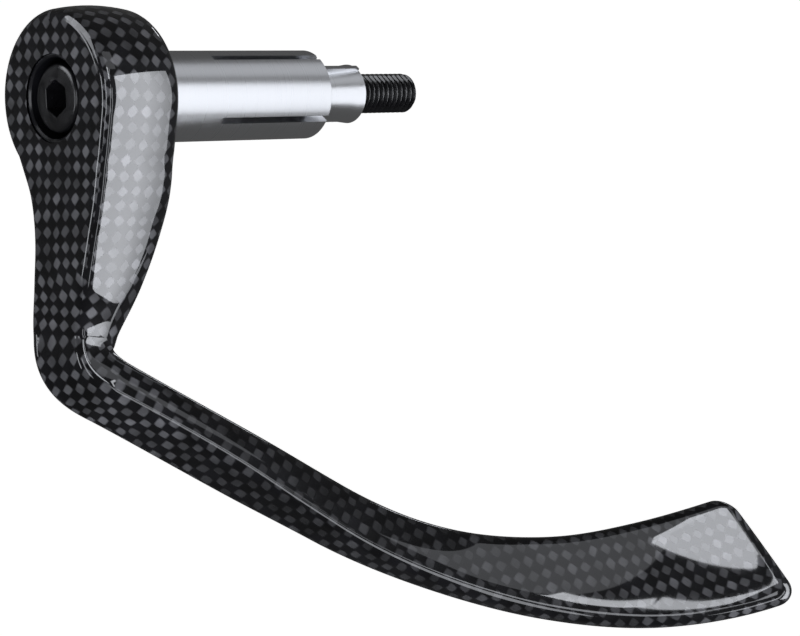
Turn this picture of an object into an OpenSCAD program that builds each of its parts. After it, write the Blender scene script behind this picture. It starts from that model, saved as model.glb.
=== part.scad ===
// Brake lever guard for a handlebar end.
// A moulded fibre arm hangs from a round head. A long cap screw runs through the
// head and a split sleeve, and draws a taper nut into the sleeve's fingers, so
// that the sleeve grips the inside of the handlebar.
// X runs along the screw, towards the middle of the machine. Y and Z are square
// to it, with Z up. The origin is on the screw's axis, at the inner face of the
// head, where the end of the handlebar seats. Every size is in millimetres.

/* [Head] */
// Largest diameter of the head, at the crest of its crowned rim
head_d = 34.4; // [30:0.1:40]
// Thickness of the head along the screw
head_t = 18.5; // [16:0.5:24]
// Height of the crown on the head's rim
rim_crown = 0.6; // [0.3:0.1:2]
// Radius of the soft edge round the outer face, down to the bend
edge_r = 2; // [1:0.1:3]
// Radius of the softer edge round the inner face of the head
inner_edge_r = 3.8; // [1:0.1:4.5]

/* [Shank] */
// Depth of the corner of the bend below the screw
shank_drop = 51.5; // [44:0.5:70]
// Width of the outer face at the foot of the shank
shank_w = 16; // [12:0.5:20]
// Thickness of the shank at its foot, along the screw
shank_t = 10.6; // [8:0.2:13]
// How far the foot of the shank is set back from the screw
shank_set_back = 3.4; // [0:0.2:6]
// Height of the crown on the walls of the shank's foot and of the arm
wall_crown = 0.7; // [0.3:0.1:1.2]
// Length of spine that the bend takes up on each side of its corner
bend_reach = 7; // [5:0.5:12]
// How far the corner of the bend lies outboard of the foot of the shank
bend_out = 1.9; // [0:0.1:4]
// How far the corner of the bend lies in front of the foot of the shank
bend_forward = 2; // [0:0.1:4]

/* [Arm] */
// Angle of the arm away from the screw's direction, seen from above
toe_out = 27.8; // [10:0.2:45]
// Slope of the arm below level
arm_slope = 32.2; // [20:0.2:45]
// Length of the straight arm, from the corner of the bend to the blade
arm_l = 55; // [40:1:90]
// Width of the lower face of the arm
arm_w = 13; // [9:0.2:16]
// Width of the upper face of the arm
arm_t = 8.9; // [6:0.1:11]
// Turn of the arm's section about its own length
arm_roll = 20; // [0:1:35]

/* [Blade] */
// Radius of the blade's upward sweep
blade_sweep_r = 111.5; // [80:0.5:160]
// Angle of the blade's upward sweep
blade_sweep = 47.4; // [30:0.1:55]
// Width of the blade near its tip
blade_w = 24; // [18:0.2:30]
// Thickness of the blade
blade_t = 5.6; // [4:0.2:8]
// Turn of the blade's section about its own length
blade_roll = 22; // [0:1:35]
// Angle of the slanted end of the blade
tip_rake = 15.5; // [0:0.5:35]
// Radius of the two corners at the end of the blade
tip_corner_r = 4.2; // [2.6:0.2:7]

/* [Head bush] */
// Diameter of the recess that the screw's head sits in
recess_d = 15.2; // [14.6:0.2:17]
// Wall of the bush round that recess
bush_wall = 0.7; // [0.5:0.1:1.5]
// Depth of the bush's rim below the outer face
bush_inset = 0.3; // [0.1:0.1:1]
// Diameter of the narrow end of the bush
bush_nose_d = 12.6; // [11:0.2:14]
// Length of the narrow end of the bush
bush_nose_l = 3.5; // [2:0.5:5]

/* [Cap screw] */
// Nominal diameter of the screw
screw_d = 8; // [7:0.5:8.5]
// Length of the screw under its head
screw_l = 80; // [75:5:90]
// Diameter of the screw's head
screw_head_d = 13; // [12.6:0.1:13.4]
// Height of the screw's head
screw_head_h = 8; // [6:0.5:8]
// Depth of the top of the screw's head below the outer face
screw_inset = 0.8; // [0.4:0.1:2]
// Size of the hexagon socket across its flats
hex_af = 6; // [5:1:6]
// Depth of the hexagon socket
hex_depth = 4.6; // [4:0.2:5]
// Lead of the screw's thread, which is the travel of the nut for one turn
thread_lead = 1.25; // [1:0.25:1.5]

/* [Washer] */
// Outer diameter of the washer under the screw's head
washer_d = 15; // [14:0.2:15]
// Thickness of that washer
washer_t = 1.6; // [1:0.2:2]

/* [Sleeve] */
// Outer diameter of the sleeve, for a handlebar bore of 18
sleeve_d = 17.5; // [16:0.1:20]
// Length of the sleeve
sleeve_l = 43; // [40:0.2:60]
// Clearance hole through the solid end of the sleeve
sleeve_hole_d = 9; // [8.6:0.2:9.4]
// Bore inside the fingers
finger_bore_d = 9.8; // [9.6:0.1:11]
// Width of the slots between the fingers
slot_w = 1.4; // [1:0.1:3]
// Length of the slots along the outside of the sleeve, run-out included
slot_l = 27.2; // [20:0.2:32]
// Number of slots
slot_count = 4; // [4:2:6]
// Direction of the first slot, from -Y towards +Z
slot_turn = 54; // [0:1:85]
// Radius of the saw that cuts the slots
saw_r = 22; // [12:1:32]
// Depth of the slots inside the bore of the fingers
slot_deep = 0.6; // [0.2:0.1:1]
// Length of the wide bore behind the slots
bore_lead = 2; // [0.5:0.5:6]
// Chamfer on the open end of the sleeve
sleeve_chamfer = 0.5; // [0.2:0.1:1]

/* [Taper nut] */
// Diameter of the nut's wide end
nut_d = 11.8; // [11.6:0.1:13]
// Length of the nut
nut_l = 13; // [11:0.5:14]
// Half angle of the nut's taper
nut_taper = 7; // [6:0.5:8]
// Length of the nut that stands out of the sleeve
nut_proud = 11.1; // [9:0.1:12]
// Turns of the screw that draw the nut's taper up to the fingers
nut_turns = 4; // [2:0.5:5]
// Diameter over the two keys that run in the slots
key_d = 12.8; // [12.4:0.1:13.6]

/* [Fits] */
// Radial clearance of the screw in the bush and in the nut
screw_clearance = 0.05; // [0.02:0.01:0.1]
// Bond line between the bush and the head
bond_gap = 0.05; // [0:0.01:0.1]
// Radial clearance of the washer on the screw
washer_clearance = 0.2; // [0.1:0.05:0.4]
// Clearance between the nut's taper and the fingers at the end of its travel
taper_clearance = 0.05; // [0.03:0.01:0.1]
// Clearance on each side of a key in its slot
key_clearance = 0.15; // [0.05:0.05:0.3]

/* [Hidden] */
$fn = 96;
// Overshoot of a cut past the face that it goes through
over = 1;

// Directions of the row
axis_x = [1, 0, 0];
axis_y = [0, 1, 0];
axis_z = [0, 0, 1];

// Head
head_r = head_d / 2;
mid_x = -head_t / 2;
// Where the round of the head gives way to the neck, measured from straight down
neck_angle = 50;
neck_z = -head_r * cos(neck_angle);
// The near wall leaves the round at this gentle slope instead, so that it runs on
// into the shank without a waist
near_slope = 13;

// Arm and blade directions
arm_dir = [cos(arm_slope) * cos(toe_out), -cos(arm_slope) * sin(toe_out), -sin(arm_slope)];
rise_dir = [sin(arm_slope) * cos(toe_out), -sin(arm_slope) * sin(toe_out), cos(arm_slope)];
shank_foot = [-head_t + shank_t / 2, shank_set_back, -shank_drop + bend_reach];
bend_corner = [shank_foot[0] - bend_out, shank_set_back - bend_forward, -shank_drop];
arm_start = bend_corner + bend_reach * arm_dir;
arm_end = bend_corner + arm_l * arm_dir;

// Screw and bush
screw_r = screw_d / 2;
screw_top_x = -head_t + screw_inset;
seat_x = screw_top_x + screw_head_h;
washer_in_x = seat_x + washer_t;
bush_r = recess_d / 2 + bush_wall;
bush_top_x = -head_t + bush_inset;

// Sleeve and nut
nut_big_x = sleeve_l + nut_proud;
nut_small_x = nut_big_x - nut_l;
nut_slope = tan(nut_taper);
nut_travel = nut_turns * thread_lead;
nut_small_r = nut_d / 2 - nut_l * nut_slope;
mouth_r = nut_d / 2 - (nut_proud - nut_travel) * nut_slope + taper_clearance;
mouth_l = (mouth_r - finger_bore_d / 2) / nut_slope;
slot_low = finger_bore_d / 2 - slot_deep;
saw_run_out = sqrt(pow(saw_r, 2) - pow(slot_low + saw_r - sleeve_d / 2, 2));
finger_bore_x = sleeve_l - slot_l - bore_lead;
key_w = slot_w - 2 * key_clearance;

// The width rows start a little above the neck, on the head's own round, so that
// the neck leaves the head without a corner
above_neck = 0.1;
above_depth = -neck_z - above_neck * (shank_drop - bend_reach + neck_z);
round_half = sqrt(pow(head_r, 2) - pow(above_depth, 2));

function unit(v) = v / norm(v);
function lerp(p, q, k) = p + (q - p) * k;
function square_to(v, t) = unit(v - (v * t) * t);
function turn_about(v, t, a) = v * cos(a) + cross(t, v) * sin(a);

// Smooth value at u along a list of [u, value] rows
function row_slope(rows, i) =
    (i == 0 || i == len(rows) - 1) ? 0 :
    (rows[i + 1][1] - rows[i - 1][1]) / (rows[i + 1][0] - rows[i - 1][0]);
function hermite(p, q, mp, mq, k) =
    p * (2 * k * k * k - 3 * k * k + 1) + mp * (k * k * k - 2 * k * k + k)
    + q * (3 * k * k - 2 * k * k * k) + mq * (k * k * k - k * k);
function row_value(rows, u, i = 0) =
    u <= rows[0][0] ? rows[0][1] :
    (i >= len(rows) - 1) ? rows[len(rows) - 1][1] :
    u > rows[i + 1][0] ? row_value(rows, u, i + 1) :
    hermite(rows[i][1], rows[i + 1][1],
        row_slope(rows, i) * (rows[i + 1][0] - rows[i][0]),
        row_slope(rows, i + 1) * (rows[i + 1][0] - rows[i][0]),
        (u - rows[i][0]) / (rows[i + 1][0] - rows[i][0]));

// Stations run along the spine: 0 to 1 down the shank, 1 to 2 round the bend,
// 2 to 3 along the arm, and 3 to 4 along the blade. A row is [station, value].
neck_half = head_r * sin(neck_angle);
foot_half = shank_w / 2;
half_w_rows = [
    [-above_neck, round_half], [0, neck_half], [0.13, lerp(neck_half, foot_half, 0.24)],
    [0.23, lerp(neck_half, foot_half, 0.38)], [0.46, lerp(neck_half, foot_half, 0.65)],
    [0.74, lerp(neck_half, foot_half, 0.87)], [1, foot_half], [1.5, lerp(shank_w, arm_w, 0.5) / 2],
    [2, lerp(shank_w, arm_w, 0.8) / 2], [2.6, arm_w / 2], [3, lerp(arm_w, blade_t, 0.35) / 2],
    [3.35, lerp(arm_w, blade_t, 0.8) / 2], [3.7, blade_t / 2], [4, blade_t * 0.46]];
half_t_rows = [
    [0, head_t / 2], [0.23, head_t / 2], [0.46, lerp(head_t, shank_t, 0.15) / 2],
    [0.74, lerp(head_t, shank_t, 0.5) / 2], [1, shank_t / 2], [1.5, lerp(shank_t, arm_t, 0.6) / 2],
    [2, lerp(shank_t, arm_t, 1.1) / 2], [2.5, arm_t / 2], [3, lerp(arm_t, blade_w, 0.09) / 2],
    [3.25, lerp(arm_t, blade_w, 0.21) / 2], [3.5, lerp(arm_t, blade_w, 0.5) / 2],
    [3.75, lerp(arm_t, blade_w, 0.84) / 2], [4, blade_w / 2]];
set_back_rows = [
    [0, 0], [0.23, -0.29 * shank_set_back], [0.46, -0.04 * shank_set_back],
    [0.74, 0.62 * shank_set_back], [1, shank_set_back]];
// What the near wall keeps beyond the far one, where it leaves the head
function near_half(depth) = head_r * cos(near_slope) - (depth - head_r * sin(near_slope)) * tan(near_slope);
near_fill = near_half(-neck_z) - neck_half;
near_fill_rows = [
    [-above_neck, near_half(above_depth) - round_half], [0, near_fill], [0.13, 0.73 * near_fill],
    [0.23, 0.45 * near_fill], [0.46, 0.13 * near_fill], [0.74, 0]];
roll_rows = [[1, 0], [2, arm_roll], [3, arm_roll], [4, blade_roll]];

// The bend leaves the shank straight down and enters the arm along its length.
// The two shares set how far it keeps each direction.
foot_share = 0.6;
arm_share = 1.15;
foot_handle = shank_foot - axis_z * bend_reach * foot_share;
arm_handle = arm_start - arm_dir * bend_reach * arm_share;
function bezier(p, a, b, q, k) =
    p * pow(1 - k, 3) + a * 3 * k * pow(1 - k, 2) + b * 3 * k * k * (1 - k) + q * pow(k, 3);
function spine(u) =
    u <= 1 ? [-head_t + row_value(half_t_rows, u), row_value(set_back_rows, u), lerp(neck_z, shank_foot[2], u)] :
    u <= 2 ? bezier(shank_foot, foot_handle, arm_handle, arm_start, u - 1) :
    u <= 3 ? lerp(arm_start, arm_end, u - 2) :
    arm_end + blade_sweep_r * (sin(blade_sweep * (u - 3)) * arm_dir
        + (1 - cos(blade_sweep * (u - 3))) * rise_dir);
function along(u) = u < 1 ? -axis_z : unit(spine(min(u + 0.01, 4)) - spine(u - 0.01));
function side_dir(u) =
    let (t = along(u)) turn_about(square_to(-axis_y, t), t, -row_value(roll_rows, u));

// One ring of the arm's skin. It runs from the side wall at -Y, over the outer
// face, the far wall and the inner face. right and left are the crests of the two
// walls, normal_r and normal_l their outward directions, and face is the outward
// direction of the outer face.
wall_steps = 4;
corner_steps = 3;
face_steps = 4;
function wall_profile(half_t, edge, inner_edge, crown) = [
    for (i = [0 : corner_steps])
        let (a = 90 * i / corner_steps)
        [crown + inner_edge * (1 - sin(a)), -(half_t - inner_edge) - inner_edge * cos(a)],
    for (i = [1 : wall_steps - 1])
        let (k = i / wall_steps, from_mid = 2 * k - 1)
        [crown * from_mid * from_mid, lerp(-(half_t - inner_edge), half_t - edge, k)],
    for (i = [corner_steps : -1 : 0])
        let (a = 90 * i / corner_steps)
        [crown + edge * (1 - sin(a)), (half_t - edge) + edge * cos(a)]];
function ring(right, left, normal_r, normal_l, face, half_t, edge, inner_edge, crown) =
    let (profile = wall_profile(half_t, edge, inner_edge, crown), n = len(profile))
    let (r_pts = [for (p = profile) right - p[0] * normal_r + p[1] * face])
    let (l_pts = [for (p = profile) left - p[0] * normal_l + p[1] * face])
    concat(
        r_pts,
        [for (i = [1 : face_steps - 1]) lerp(r_pts[n - 1], l_pts[n - 1], i / face_steps)],
        [for (i = [n - 1 : -1 : 0]) l_pts[i]],
        [for (i = [1 : face_steps - 1]) lerp(l_pts[0], r_pts[0], i / face_steps)]);

// Rings round the head, from its top down to the neck. The two walls stay apart by
// head_gap degrees on each side of the top, where a narrow strip closes the skin.
head_steps = 13;
head_gap = 5;
function head_ring(a) =
    let (low = a < 90 - near_slope, slope = low ? near_slope : 90 - a, height = -head_r * cos(a))
    let (n_r = [0, -cos(slope), -sin(slope)], n_l = [0, sin(a), -cos(a)])
    let (right = low ? [mid_x, -near_half(-height), height] : [mid_x, 0, 0] + head_r * n_r)
    ring(right, [mid_x, 0, 0] + head_r * n_l, n_r, n_l, -axis_x, head_t / 2,
        edge_r, inner_edge_r, rim_crown);

// Rings of the shank, arm and blade
edge_rows = [[0, edge_r], [1, edge_r], [2.5, edge_r * 1.1], [3.4, blade_t * 0.45], [4, blade_t * 0.4]];
inner_edge_rows = [[0, inner_edge_r], [0.8, edge_r], [2.5, edge_r * 1.1], [3.4, blade_t * 0.45],
    [4, blade_t * 0.4]];
crown_rows = [[0, rim_crown], [1, wall_crown], [2, wall_crown], [3, wall_crown * 0.7],
    [3.4, blade_t * 0.045], [4, blade_t * 0.035]];
far_tilt_rows = [[0, 90 - neck_angle], [0.22, 14], [0.48, 14], [0.76, 12], [1, 0]];
near_tilt_rows = [[0, near_slope], [0.48, 14], [0.76, 12], [1, 0]];
function body_ring(u, trim_w = 0, trim_t = 0, rake = 0) =
    let (t = along(u), side = side_dir(u), face = cross(t, side))
    let (half_w = row_value(half_w_rows, u) - trim_w, half_t = row_value(half_t_rows, u) - trim_t)
    let (near_w = half_w + row_value(near_fill_rows, u))
    let (near_tilt = row_value(near_tilt_rows, u), far_tilt = row_value(far_tilt_rows, u))
    let (n_r = unit(side * cos(near_tilt) + t * sin(near_tilt)))
    let (n_l = unit(-side * cos(far_tilt) + t * sin(far_tilt)))
    let (mid = spine(u), lean = face + tan(rake) * t)
    let (crown = min(row_value(crown_rows, u), half_w * 0.3))
    let (most = min((half_w - crown) * 0.95, half_t * 0.95))
    let (edge = min(row_value(edge_rows, u), most), inner_edge = min(row_value(inner_edge_rows, u), most))
    ring(mid + near_w * side, mid - half_w * side, n_r, n_l, lean, half_t, edge, inner_edge, crown);

// The skin of the arm: rings joined by strips, closed at both ends
shank_rings = 12;
bend_rings = 8;
arm_rings = 6;
blade_rings = 12;
tip_rings = 6;
blade_l = blade_sweep_r * blade_sweep * PI / 180;
tip_u = 4 - tip_corner_r / blade_l;
rake_rows = [[3.5, 0], [tip_u, tip_rake]];
function round_off(r, d) = d >= r ? 0 : r - sqrt(max(0, r * r - (r - d) * (r - d)));
function tip_ring(k) =
    let (d = tip_corner_r * pow(1 - k, 2))
    body_ring(4 - d / blade_l, trim_w = round_off(blade_t * 0.42, d), trim_t = round_off(tip_corner_r, d),
        rake = tip_rake);
rings = concat(
    [for (i = [0 : head_steps - 1]) head_ring(lerp(180 - head_gap, neck_angle, i / head_steps))],
    [for (i = [0 : shank_rings - 1]) body_ring(i / shank_rings)],
    [for (i = [0 : bend_rings - 1]) body_ring(1 + i / bend_rings)],
    [for (i = [0 : arm_rings - 1]) body_ring(2 + i / arm_rings)],
    [for (i = [0 : blade_rings - 1])
        let (u = lerp(3, tip_u, i / blade_rings)) body_ring(u, rake = row_value(rake_rows, u))],
    [for (i = [0 : tip_rings]) tip_ring(i / tip_rings * 0.9)]);
ring_len = len(rings[0]);
profile_len = 2 * (corner_steps + 1) + wall_steps - 1;
function far_i(i) = 2 * profile_len + face_steps - 2 - i;
skin_points = concat([for (r = rings) each r], [spine(4)]);
last_ring = (len(rings) - 1) * ring_len;
skin_faces = concat(
    [for (j = [0 : len(rings) - 2]) for (i = [0 : ring_len - 1])
        let (p = j * ring_len, q = p + ring_len, n = (i + 1) % ring_len)
        [p + i, q + i, q + n, p + n]],
    [for (i = [1 : profile_len - 3]) [i, i + 1, far_i(i + 1), far_i(i)]],
    [for (i = [0 : face_steps - 1]) [1, far_i(1) + i, far_i(1) + i + 1]],
    [[1, ring_len - 1, 0]],
    [for (i = [0 : face_steps]) [profile_len - 2, profile_len - 1 + i, profile_len + i]],
    [for (i = [0 : ring_len - 1]) [last_ring + i, len(skin_points) - 1, last_ring + (i + 1) % ring_len]]);

module along_x(from, to, r, r_end = -1) {
    translate([from, 0, 0])
        rotate([0, 90, 0])
            cylinder(h = to - from, r1 = r, r2 = r_end < 0 ? r : r_end);
}

module guard_arm() {
    color([0.09, 0.09, 0.1])
        difference() {
            polyhedron(points = skin_points, faces = skin_faces, convexity = 8);
            along_x(-head_t - over, -bush_nose_l, bush_r);
            along_x(-head_t, over, bush_nose_d / 2);
        }
}

module head_bush() {
    lip = bush_wall * 0.5;
    color([0.14, 0.14, 0.15])
        difference() {
            union() {
                along_x(bush_top_x, -bush_nose_l, bush_r - bond_gap);
                along_x(-bush_nose_l, 0, bush_nose_d / 2 - bond_gap);
            }
            along_x(bush_top_x - over, washer_in_x, recess_d / 2);
            along_x(bush_top_x, bush_top_x + lip, recess_d / 2 + lip, recess_d / 2);
            along_x(washer_in_x - over, over, screw_r + screw_clearance);
        }
}

module bolt_washer() {
    color([0.2, 0.2, 0.21])
        difference() {
            along_x(seat_x, washer_in_x, washer_d / 2);
            along_x(seat_x - over, washer_in_x + over, screw_r + washer_clearance);
        }
}

module clamp_bolt() {
    head_chamfer = 0.8;
    end_chamfer = 1.1;
    socket_chamfer = 0.35;
    hex_r = hex_af / 2 / cos(30);
    head_r1 = screw_head_d / 2;
    end_x = seat_x + screw_l;
    color([0.06, 0.06, 0.065])
        difference() {
            union() {
                along_x(screw_top_x, screw_top_x + head_chamfer, head_r1 - head_chamfer, head_r1);
                along_x(screw_top_x + head_chamfer, seat_x, head_r1);
                along_x(seat_x, end_x - end_chamfer, screw_r);
                along_x(end_x - end_chamfer, end_x, screw_r, screw_r - end_chamfer);
            }
            translate([screw_top_x - over, 0, 0])
                rotate([0, 90, 0])
                    linear_extrude(height = hex_depth + over)
                        circle(r = hex_r, $fn = 6);
            along_x(screw_top_x - socket_chamfer, screw_top_x + socket_chamfer,
                hex_r + socket_chamfer, hex_r - socket_chamfer);
        }
}

module slot_cut() {
    saw_mid_x = sleeve_l - slot_l + saw_run_out;
    translate([saw_mid_x, -slot_w / 2, slot_low])
        cube([sleeve_l - saw_mid_x + over, slot_w, sleeve_d]);
    translate([saw_mid_x, 0, slot_low + saw_r])
        rotate([90, 0, 0])
            cylinder(h = slot_w, r = saw_r, center = true);
}

module expander_sleeve() {
    color([0.78, 0.79, 0.8])
        difference() {
            union() {
                along_x(0, sleeve_l - sleeve_chamfer, sleeve_d / 2);
                along_x(sleeve_l - sleeve_chamfer, sleeve_l, sleeve_d / 2, sleeve_d / 2 - sleeve_chamfer);
            }
            along_x(-over, finger_bore_x + over, sleeve_hole_d / 2);
            along_x(finger_bore_x, sleeve_l + over, finger_bore_d / 2);
            along_x(sleeve_l - mouth_l, sleeve_l + over, finger_bore_d / 2, mouth_r + over * nut_slope);
            for (i = [0 : slot_count - 1])
                rotate([90 - slot_turn + i * 360 / slot_count, 0, 0])
                    slot_cut();
        }
}

module cone_nut() {
    color([0.78, 0.79, 0.8])
        difference() {
            union() {
                along_x(nut_small_x, nut_big_x, nut_small_r, nut_d / 2);
                intersection() {
                    along_x(nut_small_x, nut_big_x, key_d / 2);
                    rotate([90 - slot_turn, 0, 0])
                        translate([nut_small_x, -key_w / 2, -key_d])
                            cube([nut_l, key_w, key_d * 2]);
                }
            }
            along_x(nut_small_x - over, nut_big_x + over, screw_r + screw_clearance);
        }
}

guard_arm();
head_bush();
bolt_washer();
clamp_bolt();
expander_sleeve();
cone_nut();
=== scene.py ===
# %% [markdown]
# # A moulded carbon brake lever guard
# This lesson dresses a CAD model of a motorbike's brake lever guard. The guard is
# one moulded carbon-fibre arm. It hangs from a round head, which a long cap screw
# holds in the open end of the handlebar. Split sleeve, taper nut, bush and washer
# come from the CAD model. The arm and the screw are drawn again, finer, from the
# same sizes. What Blender adds is what CAD leaves out: the weave under its lacquer,
# the helical thread, and the marks of the lathe.
#
# The imported CAD model is loaded first.

import math

import bpy
import numpy as np
from mathutils import Matrix, Quaternion, Vector


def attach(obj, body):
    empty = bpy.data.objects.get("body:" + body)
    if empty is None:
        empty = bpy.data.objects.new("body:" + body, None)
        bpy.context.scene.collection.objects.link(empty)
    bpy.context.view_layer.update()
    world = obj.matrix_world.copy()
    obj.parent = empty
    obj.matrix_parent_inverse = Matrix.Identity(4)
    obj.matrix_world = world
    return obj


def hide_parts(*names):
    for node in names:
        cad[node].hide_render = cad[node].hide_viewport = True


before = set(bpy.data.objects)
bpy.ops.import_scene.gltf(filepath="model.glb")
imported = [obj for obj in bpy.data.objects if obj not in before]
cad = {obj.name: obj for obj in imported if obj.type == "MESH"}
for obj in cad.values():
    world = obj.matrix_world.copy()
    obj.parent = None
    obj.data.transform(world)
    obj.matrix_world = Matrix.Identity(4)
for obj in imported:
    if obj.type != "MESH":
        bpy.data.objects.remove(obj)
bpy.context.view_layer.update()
MM = 0.001
print("CAD nodes:", sorted(cad))

# %% [markdown]
# ## The camera
# The photo is a product shot from about 0.56 m with a long lens. The camera's
# place was worked out from the sleeve, which is a true cylinder: its two ends give
# the direction and the narrowing between them gives the distance. The three axes
# of the camera are its right, its up and its back.

# %% Camera
camera_data = bpy.data.cameras.new("photo_camera")
camera_data.lens = 132.75
camera_data.sensor_width = 36.0
camera_data.clip_start = 0.01
camera_data.clip_end = 20.0
camera = bpy.data.objects.new("photo_camera", camera_data)
bpy.context.scene.collection.objects.link(camera)
camera_right = Vector((0.7383, -0.6729, -0.0460)).normalized()
camera_back = camera_right.cross(Vector((0.0622, 0.0, 0.9981))).normalized()
camera_up = camera_back.cross(camera_right)
camera_place = Vector((-0.3402, -0.4472, -0.0207))
camera.matrix_world = Matrix((
    (camera_right.x, camera_up.x, camera_back.x, camera_place.x),
    (camera_right.y, camera_up.y, camera_back.y, camera_place.y),
    (camera_right.z, camera_up.z, camera_back.z, camera_place.z),
    (0, 0, 0, 1)))
bpy.context.scene.camera = camera
print("camera looks along", tuple(round(c, 3) for c in -camera_back))

# %% [markdown]
# ## The sizes of the arm
# The arm is a loft: one closed ring after another along a spine, each ring with
# two crowned walls and two flat faces. The CAD source builds it the same way with
# few rings. Here nearly the same numbers give about 14 times as many points, so that
# reflections run smoothly over the lacquer. Sizes are in millimetres, as on a
# drawing, and the mesh is scaled to metres at the end.

# %% Sizes shared with the CAD source
head_d, head_t, rim_crown, edge_r, inner_edge_r = 34.4, 18.5, 0.6, 2.0, 3.8
shank_drop, shank_w, shank_t, shank_set_back, wall_crown = 51.5, 16.0, 10.6, 3.4, 0.7
bend_reach, bend_out, bend_forward, foot_share, arm_share = 7.0, 1.9, 2.0, 0.6, 1.15
toe_out, arm_slope, arm_l, arm_w, arm_t, arm_roll = 27.8, 32.2, 55.0, 13.0, 8.9, 20.0
blade_sweep_r, blade_sweep, blade_w, blade_t = 111.5, 47.4, 24.0, 5.6
blade_roll, tip_rake, tip_corner_r = 22.0, 15.5, 4.2
head_r = head_d / 2
neck_angle, near_slope, above_neck = 50.0, 13.0, 0.1


def deg_sin(angle):
    return math.sin(math.radians(angle))


def deg_cos(angle):
    return math.cos(math.radians(angle))


def lerp(a, b, k):
    return a + (b - a) * k


def unit(v):
    return v / np.linalg.norm(v)


neck_z = -head_r * deg_cos(neck_angle)
arm_dir = np.array([deg_cos(arm_slope) * deg_cos(toe_out),
                    -deg_cos(arm_slope) * deg_sin(toe_out), -deg_sin(arm_slope)])
rise_dir = np.array([deg_sin(arm_slope) * deg_cos(toe_out),
                     -deg_sin(arm_slope) * deg_sin(toe_out), deg_cos(arm_slope)])
shank_foot = np.array([-head_t + shank_t / 2, shank_set_back, -shank_drop + bend_reach])
bend_corner = np.array([shank_foot[0] - bend_out, shank_set_back - bend_forward, -shank_drop])
arm_start = bend_corner + bend_reach * arm_dir
arm_end = bend_corner + arm_l * arm_dir
arm_handle = arm_start - arm_dir * bend_reach * arm_share
print("arm runs along", arm_dir.round(3))

# %% [markdown]
# ## Smooth rows
# Width, thickness, roll and edge radius change along the arm. Each is a short row
# of [station, value] pairs, and a cubic curve runs smoothly through them. Stations
# 0 to 1 are the shank, 1 to 2 the bend, 2 to 3 the arm and 3 to 4 the blade. The
# parts differ in length, so the curve is drawn over millimetres along the spine:
# otherwise it would have a kink where two parts meet, and lacquer shows every kink.
# The length of the bend is a guess at first and is measured once its curve is known.
# So the rows differ a little from the CAD source, and so do the fill of the near
# wall and the start of the bend: that wall keeps its slope down to the bend, as in
# the photo.

# %% Values along the spine
blade_l = blade_sweep_r * math.radians(blade_sweep)
bend_guess = 14.0
part_lengths = [shank_drop - bend_reach + neck_z, bend_guess, arm_l - bend_reach, blade_l]


def path_mm(u):
    """Distance along the spine from the neck to this station."""
    whole = min(3, max(0, int(u)))
    return sum(part_lengths[:whole]) + (u - whole) * part_lengths[whole]


def row_value(stations_row, u):
    rows = [(path_mm(station), value) for station, value in stations_row]
    u = path_mm(u)
    if u <= rows[0][0]:
        return rows[0][1]
    if u >= rows[-1][0]:
        return rows[-1][1]
    i = max(j for j in range(len(rows) - 1) if rows[j][0] < u)

    def slope(j):
        if j in (0, len(rows) - 1):
            return 0.0
        return (rows[j + 1][1] - rows[j - 1][1]) / (rows[j + 1][0] - rows[j - 1][0])

    span = rows[i + 1][0] - rows[i][0]
    k = (u - rows[i][0]) / span
    return (rows[i][1] * (2 * k ** 3 - 3 * k ** 2 + 1)
            + slope(i) * span * (k ** 3 - 2 * k ** 2 + k)
            + rows[i + 1][1] * (3 * k ** 2 - 2 * k ** 3)
            + slope(i + 1) * span * (k ** 3 - k ** 2))


def near_half(depth):
    """Half width of the near wall, this far below the screw, as it leaves the round head."""
    return head_r * deg_cos(near_slope) - (depth - head_r * deg_sin(near_slope)) * (
        deg_sin(near_slope) / deg_cos(near_slope))


neck_half, foot_half = head_r * deg_sin(neck_angle), shank_w / 2
above_depth = -neck_z - above_neck * (shank_drop - bend_reach + neck_z)
round_half = math.sqrt(head_r ** 2 - above_depth ** 2)
near_fill = near_half(-neck_z) - neck_half
near_fill_rows = [
    (-above_neck, near_half(above_depth) - round_half), (0, near_fill),
    (0.13, 0.73 * near_fill), (0.23, 0.45 * near_fill), (0.46, 0.27 * near_fill),
    (0.74, 0.34 * near_fill), (1, -0.45 * near_fill), (1.5, -0.35 * near_fill), (2, 0)]
half_w_rows = [
    (-above_neck, round_half), (0, neck_half), (0.13, lerp(neck_half, foot_half, 0.24)),
    (0.23, lerp(neck_half, foot_half, 0.38)), (0.46, lerp(neck_half, foot_half, 0.65)),
    (0.74, lerp(neck_half, foot_half, 0.87)), (1, foot_half),
    (1.5, lerp(shank_w, arm_w, 0.5) / 2), (2, lerp(shank_w, arm_w, 0.8) / 2),
    (2.6, arm_w / 2), (3, lerp(arm_w, blade_t, 0.35) / 2),
    (3.35, lerp(arm_w, blade_t, 0.8) / 2), (3.7, blade_t / 2), (4, blade_t * 0.46)]
half_t_rows = [
    (0, head_t / 2), (0.23, head_t / 2), (0.46, lerp(head_t, shank_t, 0.15) / 2),
    (0.74, lerp(head_t, shank_t, 0.5) / 2), (1, shank_t / 2),
    (1.5, lerp(shank_t, arm_t, 0.6) / 2), (2, lerp(shank_t, arm_t, 1.1) / 2),
    (2.5, arm_t / 2), (3, lerp(arm_t, blade_w, 0.09) / 2),
    (3.25, lerp(arm_t, blade_w, 0.21) / 2), (3.5, lerp(arm_t, blade_w, 0.5) / 2),
    (3.75, lerp(arm_t, blade_w, 0.84) / 2), (4, blade_w / 2)]
set_back_rows = [(0, 0), (0.23, -0.29 * shank_set_back), (0.46, -0.04 * shank_set_back),
                 (0.74, 0.62 * shank_set_back), (1, shank_set_back)]
roll_rows = [(0.65, 0), (1, 0.35 * arm_roll), (2, arm_roll), (3, arm_roll), (4, blade_roll)]
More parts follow.
